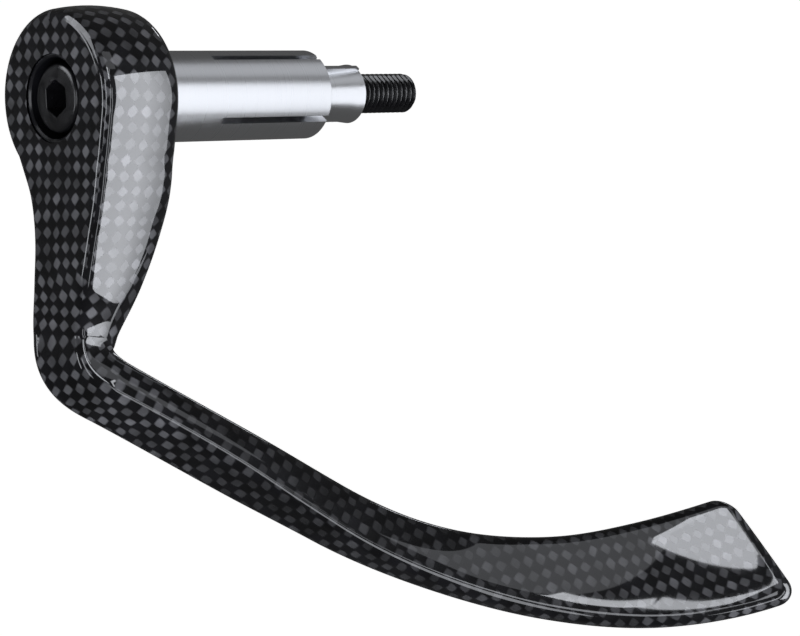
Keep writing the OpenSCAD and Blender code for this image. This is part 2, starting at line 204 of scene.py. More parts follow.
edge_rows = [(0, edge_r), (1, edge_r), (2.5, edge_r * 1.1), (3.4, blade_t * 0.45),
             (4, blade_t * 0.4)]
inner_edge_rows = [(0, inner_edge_r), (0.8, edge_r), (2.5, edge_r * 1.1), (3.4, blade_t * 0.45),
                   (4, blade_t * 0.4)]
crown_rows = [(0, rim_crown), (1, wall_crown), (2, wall_crown), (3, wall_crown * 0.7),
              (3.4, blade_t * 0.045), (4, blade_t * 0.035)]
far_tilt_rows = [(0, 90 - neck_angle), (0.22, 14), (0.48, 14), (0.76, 12), (1, 0)]
near_tilt_rows = [(0, near_slope), (0.48, 14), (0.76, 12), (1, 0)]
tip_u = 4 - tip_corner_r / blade_l
rake_rows = [(3.5, 0), (tip_u, tip_rake)]
last_bit, handle_ease = 0.02, 0.6
thinning = ((row_value(half_t_rows, 1) - row_value(half_t_rows, 1 - last_bit))
            / (last_bit * part_lengths[0]))
foot_handle = shank_foot + (bend_reach * handle_ease * foot_share
                            * np.array([thinning, 0.0, -1.0]))


def bend_point(k):
    return (shank_foot * (1 - k) ** 3 + foot_handle * 3 * k * (1 - k) ** 2
            + arm_handle * 3 * k ** 2 * (1 - k) + arm_start * k ** 3)


bend_shares = np.linspace(0, 1, 65)
bend_steps = np.diff([bend_point(k) for k in bend_shares], axis=0)
bend_mm = np.concatenate([[0], np.cumsum(np.linalg.norm(bend_steps, axis=1))])
part_lengths[1] = float(bend_mm[-1])
print("bend is", round(part_lengths[1], 1), "mm along its curve")
print("blade is", round(blade_l, 1), "mm along its curve")

# %% [markdown]
# ## The spine
# The spine goes straight down the shank, round a bend, down the arm, and then
# along an arc that turns the blade upwards. At each station it has a direction,
# and a side direction that points towards the wall nearest the camera. Rings lie
# level down the shank. Near its foot they start to lean, and within the bend they
# come to lie square to the spine.

# %% Spine
LEAN_FROM, LEAN_OVER, PROBE = 0.7, 0.5, 0.01


def ease(k):
    return k * k * (3 - 2 * k)


def spine(u):
    if u <= 1:
        return np.array([-head_t + row_value(half_t_rows, u), row_value(set_back_rows, u),
                         lerp(neck_z, shank_foot[2], u)])
    if u <= 2:
        return bend_point(np.interp((u - 1) * part_lengths[1], bend_mm, bend_shares))
    if u <= 3:
        return lerp(arm_start, arm_end, u - 2)
    turned = blade_sweep * (u - 3)
    return arm_end + blade_sweep_r * (deg_sin(turned) * arm_dir
                                      + (1 - deg_cos(turned)) * rise_dir)


def along(u):
    down = np.array([0.0, 0.0, -1.0])
    if u < LEAN_FROM:
        return down
    path = unit(spine(min(u + PROBE, 4)) - spine(u - PROBE))
    return unit(lerp(down, path, ease(min(1.0, (u - LEAN_FROM) / LEAN_OVER))))


def side_dir(u):
    t = along(u)
    side = np.array([0.0, -1.0, 0.0])
    side = unit(side - side.dot(t) * t)
    angle = -row_value(roll_rows, u)
    return side * deg_cos(angle) + np.cross(t, side) * deg_sin(angle)


print("spine ends at", spine(4).round(1))

# %% [markdown]
# ## One ring
# A ring runs up the near wall, across the outer face, down the far wall and back
# across the inner face. Each wall is a low crown, highest in its middle, between two
# rounded edges. The points lie close together at the edges, where the light bends
# most, and far apart on the flat faces. The angle at which an edge meets the crown
# depends on the crown's width, and that on the angle, so it is worked out in rounds.

# %% Ring builder
CORNER_STEPS, WALL_STEPS, MEET_ROUNDS = 8, 10, 6
MOST_CROWN, MOST_EDGE, TIP_NARROWING = 0.3, 0.95, 0.42
FACE_SHARES = [0.02, 0.07, 0.16, 0.3, 0.5, 0.7, 0.84, 0.93, 0.98]


def wall_profile(half_t, edge, inner_edge, crown):
    """One wall as (depth, place) pairs. The rounded edges run into the crown without a kink."""
    meet = 90.0
    for _ in range(MEET_ROUNDS):
        between = 2 * half_t - (edge + inner_edge) * (1 - deg_cos(meet))
        meet = math.degrees(math.atan2(between, 4 * crown))
    angles = [meet * i / CORNER_STEPS for i in range(CORNER_STEPS + 1)]
    points = [(crown + inner_edge * (deg_sin(meet) - deg_sin(a)),
               -(half_t - inner_edge) - inner_edge * deg_cos(a)) for a in angles]
    start, end = points[-1][1], (half_t - edge) + edge * deg_cos(meet)
    for i in range(1, WALL_STEPS):
        k = i / WALL_STEPS
        points.append((crown * (2 * k - 1) ** 2, lerp(start, end, k)))
    points += [(crown + edge * (deg_sin(meet) - deg_sin(a)), (half_t - edge) + edge * deg_cos(a))
               for a in angles[::-1]]
    return points


def ring(right, left, normal_r, normal_l, face, half_t, edges, crown):
    profile = wall_profile(half_t, *edges, crown)
    near = [right - p[0] * normal_r + p[1] * face for p in profile]
    far = [left - p[0] * normal_l + p[1] * face for p in profile]
    return (near + [lerp(near[-1], far[-1], k) for k in FACE_SHARES]
            + far[::-1] + [lerp(far[0], near[0], k) for k in FACE_SHARES])


def head_ring(a):
    low = a < 90 - near_slope
    slope = near_slope if low else 90 - a
    n_r = np.array([0.0, -deg_cos(slope), -deg_sin(slope)])
    n_l = np.array([0.0, deg_sin(a), -deg_cos(a)])
    mid = np.array([-head_t / 2, 0.0, 0.0])
    right = mid + head_r * n_r
    if low:
        right = np.array([-head_t / 2, -near_half(head_r * deg_cos(a)), -head_r * deg_cos(a)])
    return ring(right, mid + head_r * n_l, n_r, n_l, np.array([-1.0, 0, 0]),
                head_t / 2, (edge_r, inner_edge_r), rim_crown)


def body_ring(u, trim_w=0.0, trim_t=0.0, rake=0.0):
    t, side = along(u), side_dir(u)
    face = np.cross(t, side)
    half_w = row_value(half_w_rows, u) - trim_w
    half_t = row_value(half_t_rows, u) - trim_t
    near_w = half_w + row_value(near_fill_rows, u)
    near_tilt, far_tilt = row_value(near_tilt_rows, u), row_value(far_tilt_rows, u)
    n_r = unit(side * deg_cos(near_tilt) + t * deg_sin(near_tilt))
    n_l = unit(-side * deg_cos(far_tilt) + t * deg_sin(far_tilt))
    lean = face + math.tan(math.radians(rake)) * t
    crown = min(row_value(crown_rows, u), half_w * MOST_CROWN)
    most = min((half_w - crown) * MOST_EDGE, half_t * MOST_EDGE)
    edges = min(row_value(edge_rows, u), most), min(row_value(inner_edge_rows, u), most)
    mid = spine(u)
    return ring(mid + near_w * side, mid - half_w * side, n_r, n_l, lean, half_t, edges, crown)


def round_off(r, d):
    """How far a corner of radius r has drawn in at the distance d from the end."""
    return 0.0 if d >= r else r - math.sqrt(max(0.0, r * r - (r - d) ** 2))


def tip_ring(k):
    d = tip_corner_r * (1 - k) ** 2
    return body_ring(4 - d / blade_l, round_off(blade_t * TIP_NARROWING, d),
                     round_off(tip_corner_r, d), tip_rake)


# %% [markdown]
# ## All the rings
# The head's rings are level chords of its circle, from the top down to the neck.
# The others follow the spine. A station number is kept for each ring, because the
# weave needs it: numbers below 0 are the head.

# %% Rings from head to tip
HEAD_RINGS, SHANK_RINGS, BEND_RINGS, ARM_RINGS, BLADE_RINGS, TIP_RINGS = 64, 60, 36, 40, 90, 18
HEAD_TOP, TIP_END = 178.5, 0.97
rings, stations = [], []
for i in range(HEAD_RINGS):
    a = lerp(HEAD_TOP, neck_angle, i / HEAD_RINGS)
    rings.append(head_ring(a))
    stations.append(-math.radians(a - neck_angle) * head_r)
for start, count in ((0, SHANK_RINGS), (1, BEND_RINGS), (2, ARM_RINGS)):
    for i in range(count):
        rings.append(body_ring(start + i / count))
        stations.append(start + i / count)
for i in range(BLADE_RINGS):
    u = lerp(3, tip_u, i / BLADE_RINGS)
    rings.append(body_ring(u, rake=row_value(rake_rows, u)))
    stations.append(u)
for i in range(TIP_RINGS + 1):
    rings.append(tip_ring(TIP_END * i / TIP_RINGS))
    stations.append(4.0)
rings = np.array(rings)
ring_count, ring_len = rings.shape[:2]
print(ring_count, "rings of", ring_len, "points")

# %% [markdown]
# ## Where the cloth lies
# Carbon cloth is laid in the mould before it is cured. Its threads keep running
# straight while the arm bends away under them. So each point of the skin gets a
# place on the flat cloth, in millimetres: the ridge between the outer face and the
# near wall is laid down first, and the rest is measured across from it. Row by
# row, the angle between the arm and the threads says how the cloth turns. The outer
# face of the shank is flat, so there the cloth lies flat, and it runs into the
# measured places towards the foot.

# %% Cloth coordinates
cloth_turn_rows = [(0, 42), (1, 42), (2, -2), (3, -3), (4, -42)]
FLAT_OVER = 0.4
wall_len = 2 * (CORNER_STEPS + 1) + WALL_STEPS - 1
ridge_i = wall_len - 1 - CORNER_STEPS // 2
far_ridge_i = wall_len + len(FACE_SHARES) + CORNER_STEPS // 2
far_back_i = 2 * wall_len + len(FACE_SHARES) - 1
foot_ring = HEAD_RINGS + SHANK_RINGS


def cloth_step(distance, turn):
    return np.array([distance * deg_cos(turn), -distance * deg_sin(turn)])


def cloth_line(index):
    """Places of one lengthwise line of the skin on the cloth, zero at the foot of the shank."""
    places = np.zeros((ring_count, 2))
    for j in range(1, ring_count):
        turn = row_value(cloth_turn_rows, (stations[j - 1] + stations[j]) / 2)
        step = cloth_step(np.linalg.norm(rings[j, index] - rings[j - 1, index]), turn)
        places[j] = places[j - 1] + step
    return places - places[foot_ring]


def across_lengths(j):
    """Distance of each point of ring j from the ridge.

    It is plus over the near wall and minus over the outer face.
    """
    loop = rings[j]
    steps = np.linalg.norm(np.roll(loop, -1, axis=0) - loop, axis=1)
    minus = np.zeros(ring_len + 1)
    for i in range(ridge_i, far_back_i):
        minus[i + 1] = minus[i] - steps[i]
    plus = np.zeros(ring_len + 1)
    for i in range(ridge_i, 0, -1):
        plus[i - 1] = plus[i] + steps[i - 1]
    plus[ring_len] = plus[0]
    for i in range(ring_len, far_back_i, -1):
        plus[i - 1] = plus[i] + steps[i - 1]
    return minus, plus


ridge_line, far_line = cloth_line(ridge_i), cloth_line(far_ridge_i)
foot_minus = across_lengths(foot_ring)[0]
cloth_minus = np.zeros((ring_count, ring_len + 1, 2))
cloth_plus = np.zeros((ring_count, ring_len + 1, 2))
ridge_foot = rings[foot_ring, ridge_i]
for j in range(ring_count):
    turn = row_value(cloth_turn_rows, stations[j])
    over = np.array([deg_sin(turn), deg_cos(turn)])
    minus, plus = across_lengths(j)
    cloth_plus[j] = ridge_line[j] + plus[:, None] * over
    cloth_minus[j] = ridge_line[j] + minus[:, None] * over
    if stations[j] < 1:
        flat = rings[j] - ridge_foot
        flat = (-flat[:, 2:3] * np.array([[deg_cos(turn), -deg_sin(turn)]])
                - flat[:, 1:2] * over[None, :])
        k = ease(min(1.0, max(0.0, (1 - stations[j]) / FLAT_OVER)))
        cloth_minus[j, :ring_len] = lerp(cloth_minus[j, :ring_len], flat, k)
        from_ridge = foot_minus[far_ridge_i] + minus - minus[far_ridge_i]
        wall = far_line[j] + from_ridge[:, None] * over
        cloth_minus[j, far_ridge_i:far_back_i + 1] = wall[far_ridge_i:far_back_i + 1]
print("cloth used:", np.ptp(cloth_plus.reshape(-1, 2), axis=0).round(), "mm")

# %% [markdown]
# ## The skin of the arm
# Neighbouring rings are joined by four-sided faces, and the two ends are closed.
# Each face's corners take their cloth places as a UV map. A straight cut through
# the head then makes the seat of the bush, as the drill does in the workshop.

# %% Guard mesh


def link_mesh(name, points, faces, scale=MM):
    mesh = bpy.data.meshes.new(name)
    mesh.from_pydata([tuple(p) for p in np.asarray(points) * scale], [], faces)
    mesh.validate()
    mesh.update()
    piece = bpy.data.objects.new(name, mesh)
    bpy.context.scene.collection.objects.link(piece)
    return piece


guard_faces, guard_cloth = [], []
for j in range(ring_count - 1):
    for i in range(ring_len):
        n = (i + 1) % ring_len
        guard_faces.append((j * ring_len + i, (j + 1) * ring_len + i,
                            (j + 1) * ring_len + n, j * ring_len + n))
        places = cloth_minus if ridge_i <= i < far_back_i else cloth_plus
        m = i + 1 if places is cloth_plus and i + 1 == ring_len else n
        guard_cloth.append((places[j, i], places[j + 1, i], places[j + 1, m], places[j, m]))


def mirror_i(i):
    return (2 * wall_len + len(FACE_SHARES) - 1 - i) % ring_len


for i in range(wall_len - 1):
    guard_faces.append((i, i + 1, mirror_i(i + 1), mirror_i(i)))
    guard_cloth.append([rings[0, c][[0, 1]] for c in (i, i + 1, mirror_i(i + 1), mirror_i(i))])
guard_faces.append(tuple([0] + [far_back_i + c for c in range(len(FACE_SHARES) + 1)]))
guard_cloth.append([rings[0, c][[0, 1]] for c in guard_faces[-1]])
guard_faces.append(tuple(range(wall_len - 1, wall_len + len(FACE_SHARES) + 1)))
guard_cloth.append([rings[0, c][[0, 1]] for c in guard_faces[-1]])
last = (ring_count - 1) * ring_len
tip_point = ring_count * ring_len
for i in range(ring_len):
    n = (i + 1) % ring_len
    guard_faces.append((last + i, tip_point, last + n))
    guard_cloth.append([cloth_plus[-1, 0]] * 3)
guard_points = np.vstack([rings.reshape(-1, 3), spine(4)[None, :]])
guard = link_mesh("carbon_guard", guard_points, guard_faces)
cloth_map = guard.data.uv_layers.new(name="cloth")
corner = 0
for places in guard_cloth:
    for place in places:
        cloth_map.data[corner].uv = (place[0], place[1])
        corner += 1
print("guard skin:", len(guard.data.polygons), "faces")

# %% [markdown]
# ## Turned shapes
# A turned shape is a profile of (place along the axis, radius) pairs swept round the
# X axis, from one point on the axis to another. The screw's head and neck are made
# this way, and so is the cutter for the bores. Edges are broken with small arcs,
# because no real edge is perfectly sharp and those arcs catch the light.

# %% Lathe helper
LATHE_STEPS, ARC_STEPS, ON_AXIS = 128, 5, 1e-6


def lathe(name, profile):
    """Sweeps a profile of (x, r) pairs round the X axis. It starts and ends on the axis."""
    points, faces, rows = [], [], []
    for x, r in profile:
        if r < ON_AXIS:
            rows.append([len(points)])
            points.append((x, 0.0, 0.0))
            continue
        rows.append(list(range(len(points), len(points) + LATHE_STEPS)))
        points += [(x, -r * math.cos(2 * math.pi * k / LATHE_STEPS),
                    r * math.sin(2 * math.pi * k / LATHE_STEPS)) for k in range(LATHE_STEPS)]
    for p, q in zip(rows, rows[1:]):
        for k in range(LATHE_STEPS):
            n = (k + 1) % LATHE_STEPS
            if len(p) == 1:
                faces.append((p[0], q[k], q[n]))
            elif len(q) == 1:
                faces.append((p[k], q[0], p[n]))
            else:
                faces.append((p[k], q[k], q[n], p[n]))
    return link_mesh(name, points, faces)


def soft_corner(before, corner, after, r):
    """Points of a small arc that breaks the corner of a profile."""
    b, c, a = (np.array(p, float) for p in (before, corner, after))
    d1, d2 = unit(b - c), unit(a - c)
    half = math.acos(max(-1.0, min(1.0, d1.dot(d2)))) / 2
    reach = r / math.tan(half)
    centre = c + unit(d1 + d2) * (r / math.sin(half))
    start, end = c + d1 * reach, c + d2 * reach
    arc = []
    for i in range(ARC_STEPS + 1):
        p = lerp(start, end, i / ARC_STEPS)
        arc.append(tuple(centre + unit(p - centre) * r))
    return arc


def broken_profile(corners):
    """A profile from (x, r, edge radius) corners. Those with a radius of 0 stay sharp."""
    out = []
    for i, (x, r, edge) in enumerate(corners):
        if edge == 0:
            out.append((x, r))
        else:
            out += soft_corner(corners[i - 1][:2], (x, r), corners[i + 1][:2], edge)
    return out


def cut(piece, cutter):
    """Cuts one closed mesh out of another and drops the cutter."""
    modifier = piece.modifiers.new("cut", "BOOLEAN")
    modifier.operation = "DIFFERENCE"
    modifier.solver = "EXACT"
    modifier.object = cutter
    bpy.context.view_layer.update()
    result = bpy.data.meshes.new_from_object(
        piece.evaluated_get(bpy.context.evaluated_depsgraph_get()))
    piece.modifiers.clear()
    piece.data = result
    bpy.data.objects.remove(cutter)


def smooth(piece, angle=35, flats=True):
    """Smooth shading with crisp edges. With flats, the flat faces also look quite flat."""
    piece.data.shade_smooth()
    piece.data.set_sharp_from_angle(angle=math.radians(angle))
    if not flats:
        return
    modifier = piece.modifiers.new("flat faces", "WEIGHTED_NORMAL")
    modifier.keep_sharp = True
    modifier.weight = 50


# %% [markdown]
# ## The seat of the bush
# The bush has a wide end for the screw's head and a narrow end that meets the
# sleeve. Both bores are cut through the head of the arm.

# %% Bores of the head
recess_d, bush_wall, bush_nose_d, bush_nose_l = 15.2, 0.7, 12.6, 3.5
bush_r, nose_r, clear = recess_d / 2 + bush_wall, bush_nose_d / 2, 1
cut(guard, lathe("head_bore", [
    (-head_t - clear, 0), (-head_t - clear, bush_r), (-bush_nose_l, bush_r),
    (-bush_nose_l, nose_r), (clear, nose_r), (clear, 0)]))
smooth(guard, 30, flats=False)
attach(guard, "guard")
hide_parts("guard_arm")
print("guard:", len(guard.data.polygons), "faces after the bore")

# %% [markdown]
# ## The cap screw
# An M8 cap screw has a round head with a hexagon socket, a plain neck and a thread.
# Head and neck are one turned shape, which reaches a little way into the thread's
# start, and the socket is cut out of it. Its mouth is chamfered.

# %% Screw head and plain neck
screw_r, screw_head_d, screw_head_h, screw_inset = 4.0, 13.0, 8.0, 0.8
hex_af, hex_depth, screw_l, thread_lead, thread_l = 6.0, 4.6, 80.0, 1.25, 34.0
screw_top_x = -head_t + screw_inset
seat_x = screw_top_x + screw_head_h
screw_end_x = seat_x + screw_l
thread_x = screw_end_x - thread_l
neck_overlap = 1
neck_end_x = thread_x + neck_overlap
top_edge, seat_edge, neck_fillet, neck_edge = 0.9, 0.15, 0.3, 0.1
screw_head = lathe("screw_head", broken_profile([
    (screw_top_x, 0, 0), (screw_top_x, screw_head_d / 2, top_edge),
    (seat_x, screw_head_d / 2, seat_edge), (seat_x, screw_r, neck_fillet),
    (neck_end_x, screw_r, neck_edge), (neck_end_x, 0, 0)]))
hex_r = hex_af / 2 / deg_cos(30)
mouth_above, mouth_depth, mouth_wider = 0.5, 0.25, 0.45
socket_points = [(x, r * deg_sin(60 * k), r * deg_cos(60 * k)) for x, r in (
    (screw_top_x - mouth_above, hex_r + mouth_wider), (screw_top_x + mouth_depth, hex_r),
    (screw_top_x + hex_depth, hex_r)) for k in range(6)]
socket_faces = [tuple(range(6)), (17, 16, 15, 14, 13, 12)]
socket_faces += [(6 * j + k, 6 * j + 6 + k, 6 * j + 6 + (k + 1) % 6, 6 * j + (k + 1) % 6)
                 for j in range(2) for k in range(6)]
cut(screw_head, link_mesh("hexagon", socket_points, socket_faces))
print("screw head:", len(screw_head.data.polygons), "faces after the socket")
smooth(screw_head)
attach(screw_head, "bolt")
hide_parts("clamp_bolt")
print("screw head: top at", round(screw_top_x, 2), "mm")

# %% [markdown]
# ## The thread
# The thread rises by 1.25 mm for each turn. It is one skin: the radius at each point
# depends on how far round and how far along the point is, so the groove winds down
# it in one helix. An eighth of the rise is flat at the crest and another at the
# root. The groove runs out at the neck, and the screw's end is rounded.

# %% Screw thread
THREAD_STEPS, THREAD_ROWS_PER_TURN = 72, 14
groove_share, flat_share, run_out_turns, crest_gap = 0.613, 0.125, 1.5, 0.02
end_drop, end_round = 1.15, 1.3
groove = groove_share * thread_lead


def thread_radius(x, turn_share):
    phase = ((x - thread_x) / thread_lead - turn_share) % 1.0
    away = abs(phase - 0.5) * 2
    depth = min(1.0, max(0.0, (away - flat_share) / (1 - 2 * flat_share)))
    run_out = min(1.0, max(0.0, (x - thread_x) / (run_out_turns * thread_lead)))
    r = screw_r - crest_gap - groove * depth * run_out
    return min(r, screw_r - end_drop + math.sqrt(max(0.0, end_round * (screw_end_x - x))))


thread_rows = int(thread_l / thread_lead * THREAD_ROWS_PER_TURN)
thread_points, thread_faces = [], []
for j in range(thread_rows + 1):
    x = lerp(thread_x, screw_end_x, j / thread_rows)
    for k in range(THREAD_STEPS):
        a = 2 * math.pi * k / THREAD_STEPS
        r = thread_radius(x, k / THREAD_STEPS)
        thread_points.append((x, -r * math.cos(a), r * math.sin(a)))
for j in range(thread_rows):
    for k in range(THREAD_STEPS):
        n = (k + 1) % THREAD_STEPS
        p = j * THREAD_STEPS
        thread_faces.append((p + k, p + n, p + THREAD_STEPS + n, p + THREAD_STEPS + k))
thread_faces.append(tuple(range(THREAD_STEPS))[::-1])
thread_faces.append(tuple(thread_rows * THREAD_STEPS + k for k in range(THREAD_STEPS)))
screw_thread = link_mesh("screw_thread", thread_points, [f[::-1] for f in thread_faces])
smooth(screw_thread, 50)
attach(screw_thread, "bolt")
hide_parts("clamp_bolt")
print("thread:", thread_rows, "rows")

# %% [markdown]
# ## Node helpers
# Materials are built from nodes in code. A few short helpers keep the wiring easy
# to read: one adds a node and sets its values, one does a sum, and one makes a
# node group with named sockets.

# %% Helpers for node trees


def add_node(tree, kind, values=None, **settings):
    node = tree.nodes.new(kind)
    for key, value in settings.items():
        setattr(node, key, value)
    for key, value in (values or {}).items():
        node.inputs[key].default_value = value
    return node


def sums(tree, operation, *terms):
    node = add_node(tree, "ShaderNodeMath", operation=operation)
    for i, term in enumerate(terms):
        if isinstance(term, (int, float)):
            node.inputs[i].default_value = term
        else:
            tree.links.new(term, node.inputs[i])
    return node.outputs[0]


def new_group(name, inputs, outputs):
    group = bpy.data.node_groups.new(name, "ShaderNodeTree")
    for title, kind, value in inputs:
        socket = group.interface.new_socket(name=title, in_out="INPUT", socket_type=kind)
        if value is not None:
            socket.default_value = value
    for title, kind in outputs:
        group.interface.new_socket(name=title, in_out="OUTPUT", socket_type=kind)
    return group, group.nodes.new("NodeGroupInput"), group.nodes.new("NodeGroupOutput")


def use_group(tree, group, values=None):
    node = tree.nodes.new("ShaderNodeGroup")
    node.node_tree = group
    for key, value in (values or {}).items():
        node.inputs[key].default_value = value
    return node


def new_material(name):
    material = bpy.data.materials.new(name)
    material.use_nodes = True
    tree = material.node_tree
    return material, tree, tree.nodes["Principled BSDF"]


# %% [markdown]
# ## The weave
# The cloth is a plain weave: each flat tow of carbon goes over one tow and under
# the next. The group splits the cloth into squares one tow wide. On half of the
# squares, like the white fields of a chessboard, the tows that run one way are on
# top, and on the others those that cross them. Each square is a low bulge, and
# fine streaks run along its fibres. The squares where the first tows are on top are
# painted paler. This is a painted sheen for the light that their fibres catch. It is
# brightest in the middle of the square and fades towards its edges. The other
# squares keep the dark colour of the tows. A slow noise pulls the squares a little
# out of line and makes some places paler, because a mould never leaves cloth quite even.

# %% Node group: plain weave
weave, weave_in, weave_out = new_group(
    "plain_weave",
    [("Cloth", "NodeSocketVector", None), ("Tow width", "NodeSocketFloat", 2.1),
     ("Painted tow sheen", "NodeSocketColor", (0.1, 0.1, 0.11, 1)),
     ("Dark tow", "NodeSocketColor", (0.012, 0.012, 0.014, 1)),
     ("Unevenness", "NodeSocketFloat", 0.3)],
    [("Color", "NodeSocketColor"), ("Height", "NodeSocketFloat"), ("Mask", "NodeSocketFloat")])
join = weave.links.new
pull_mm, fibre_streaks, streak_length, tow_shift = 1.1, 26.0, 1.5, 90.0
scaled = add_node(weave, "ShaderNodeVectorMath", operation="DIVIDE")
drift = add_node(weave, "ShaderNodeTexNoise", {"Scale": 0.16, "Detail": 1.0},
                 noise_dimensions="2D")
join(weave_in.outputs["Cloth"], drift.inputs["Vector"])
pulled = add_node(weave, "ShaderNodeVectorMath", operation="MULTIPLY_ADD")
join(drift.outputs["Color"], pulled.inputs[0])
pulled.inputs[1].default_value = (pull_mm, pull_mm, 0)
join(weave_in.outputs["Cloth"], pulled.inputs[2])
join(pulled.outputs[0], scaled.inputs[0])
join(weave_in.outputs["Tow width"], scaled.inputs[1])
parts = weave.nodes.new("ShaderNodeSeparateXYZ")
join(scaled.outputs[0], parts.inputs[0])
cell_x = sums(weave, "FLOOR", parts.outputs[0])
cell_y = sums(weave, "FLOOR", parts.outputs[1])
in_x = sums(weave, "SUBTRACT", sums(weave, "SUBTRACT", parts.outputs[0], cell_x), 0.5)
in_y = sums(weave, "SUBTRACT", sums(weave, "SUBTRACT", parts.outputs[1], cell_y), 0.5)
lengthwise = sums(weave, "FLOORED_MODULO", sums(weave, "ADD", cell_x, cell_y), 2.0)
across = sums(weave, "ADD", sums(weave, "MULTIPLY", in_y, lengthwise),
              sums(weave, "MULTIPLY", in_x, sums(weave, "SUBTRACT", 1.0, lengthwise)))
along_tow = sums(weave, "ADD", sums(weave, "MULTIPLY", in_x, lengthwise),
                 sums(weave, "MULTIPLY", in_y, sums(weave, "SUBTRACT", 1.0, lengthwise)))
flank = sums(weave, "POWER", sums(weave, "ABSOLUTE", sums(weave, "MULTIPLY", across, 2.0)), 3.0)
bow = sums(weave, "COSINE", sums(weave, "MULTIPLY", along_tow, math.pi))
bulge = sums(weave, "MULTIPLY", sums(weave, "SUBTRACT", 1.0, flank), bow)
join(bulge, weave_out.inputs["Height"])
join(lengthwise, weave_out.inputs["Mask"])
cell_id = weave.nodes.new("ShaderNodeCombineXYZ")
join(cell_x, cell_id.inputs[0])
join(cell_y, cell_id.inputs[1])
cell_noise = weave.nodes.new("ShaderNodeTexWhiteNoise")
join(cell_id.outputs[0], cell_noise.inputs[0])
uneven = sums(weave, "MULTIPLY", sums(weave, "SUBTRACT", cell_noise.outputs[0], 0.5),
              weave_in.outputs["Unevenness"])
# Painted sheen: it falls off from the middle of each square towards its edges.
painted_sheen_shape = add_node(weave, "ShaderNodeMapRange", {"From Min": -0.05, "From Max": 0.6},
                  interpolation_type="SMOOTHSTEP")
join(bulge, painted_sheen_shape.inputs["Value"])
streaks = add_node(weave, "ShaderNodeTexNoise", {"Scale": 1.0, "Detail": 2.0},
                   noise_dimensions="2D")
streak_place = weave.nodes.new("ShaderNodeCombineXYZ")
join(sums(weave, "MULTIPLY", across, fibre_streaks), streak_place.inputs[0])
join(sums(weave, "ADD", sums(weave, "MULTIPLY", along_tow, streak_length),
          sums(weave, "MULTIPLY", cell_noise.outputs[0], tow_shift)), streak_place.inputs[1])
join(streak_place.outputs[0], streaks.inputs["Vector"])
fibre = sums(weave, "ADD", sums(weave, "MULTIPLY", streaks.outputs[0], 0.5), 0.75)
# Painted sheen: the squares of the first tows are mixed towards the paler sheen colour, most in
# their middle.
painted_sheen_share = sums(weave, "MULTIPLY", lengthwise, painted_sheen_shape.outputs[0])
mixed = add_node(weave, "ShaderNodeMix", data_type="RGBA")
join(painted_sheen_share, mixed.inputs["Factor"])
join(weave_in.outputs["Dark tow"], mixed.inputs["A"])
join(weave_in.outputs["Painted tow sheen"], mixed.inputs["B"])
patchy = add_node(weave, "ShaderNodeMapRange", {"From Min": 0.3, "From Max": 0.7,
                                                "To Min": 0.6, "To Max": 1.25})
join(drift.outputs[0], patchy.inputs["Value"])
shade = sums(weave, "MULTIPLY", sums(weave, "MULTIPLY", sums(weave, "ADD", uneven, 1.0), fibre),
             patchy.outputs[0])
tinted = add_node(weave, "ShaderNodeVectorMath", operation="SCALE")
join(mixed.outputs["Result"], tinted.inputs[0])
join(shade, tinted.inputs["Scale"])
join(tinted.outputs[0], weave_out.inputs["Color"])
print("weave group sockets:", [s.name for s in weave.interface.items_tree])

# %% [markdown]
# ## Lacquered carbon
# The finish is two layers. The cloth below is dark and half matt, and over it lies
# a thick clear lacquer with a mirror gloss. The Principled shader has a coat layer
# for exactly this: the weave's bumps go to the base only, and the coat stays
# smooth. How strongly the light tows shine depends on which way they face to the
# lamps, and that changes along the arm. So a colour ramp along the X axis paints
# this sheen into the colour of the pale tows, as a painted sheen.

# %% Material: lacquered carbon
carbon, tree, shader = new_material("lacquered_carbon")
join = tree.links.new
cloth_uv = add_node(tree, "ShaderNodeUVMap", uv_map="cloth")
weave_node = use_group(tree, weave, {"Tow width": 2.1, "Unevenness": 0.9,
                                     "Dark tow": (0.004, 0.004, 0.005, 1)})
skin_place = tree.nodes.new("ShaderNodeTexCoord")
skin_parts = tree.nodes.new("ShaderNodeSeparateXYZ")
join(skin_place.outputs["Object"], skin_parts.inputs[0])
# Painted sheen: the paleness of the top tows at each place along the X axis.
painted_sheen_ramp = tree.nodes.new("ShaderNodeValToRGB")
stops, bluish = painted_sheen_ramp.color_ramp.elements, 1.06
for place, painted_sheen_level in ((0.0, 0.095), (0.1, 0.095), (0.2, 0.035), (0.5, 0.035), (0.75, 0.055),
                    (1.0, 0.085)):
    stop = stops[0] if place == 0.0 else stops[-1] if place == 1.0 else stops.new(place)
    stop.color = (painted_sheen_level, painted_sheen_level, painted_sheen_level * bluish, 1)
reach = add_node(tree, "ShaderNodeMapRange", {"From Min": -0.02, "From Max": 0.1})
join(skin_parts.outputs[0], reach.inputs["Value"])
join(reach.outputs[0], painted_sheen_ramp.inputs["Fac"])
join(painted_sheen_ramp.outputs["Color"], weave_node.inputs["Painted tow sheen"])
join(cloth_uv.outputs[0], weave_node.inputs["Cloth"])
join(weave_node.outputs["Color"], shader.inputs["Base Color"])
bump = add_node(tree, "ShaderNodeBump", {"Strength": 0.6, "Distance": 0.1 * MM})
join(weave_node.outputs["Height"], bump.inputs["Height"])
join(bump.outputs[0], shader.inputs["Normal"])
for key, value in (("Roughness", 0.5), ("Metallic", 0.0), ("Specular IOR Level", 0.03),
                   ("Coat Weight", 1.0), ("Coat Roughness", 0.03), ("Coat IOR", 1.5)):
    shader.inputs[key].default_value = value
guard.data.materials.clear()
guard.data.materials.append(carbon)
print("carbon: light tows in", len(stops), "steps along the arm")

# %% [markdown]
# ## Marks of the lathe
# All the metal pieces were turned, and fine rings from the tool run round them,
# closer together than the eye can quite part. The group is a noise along the X axis
# only, so it makes rings. Bright and black metal both use it.

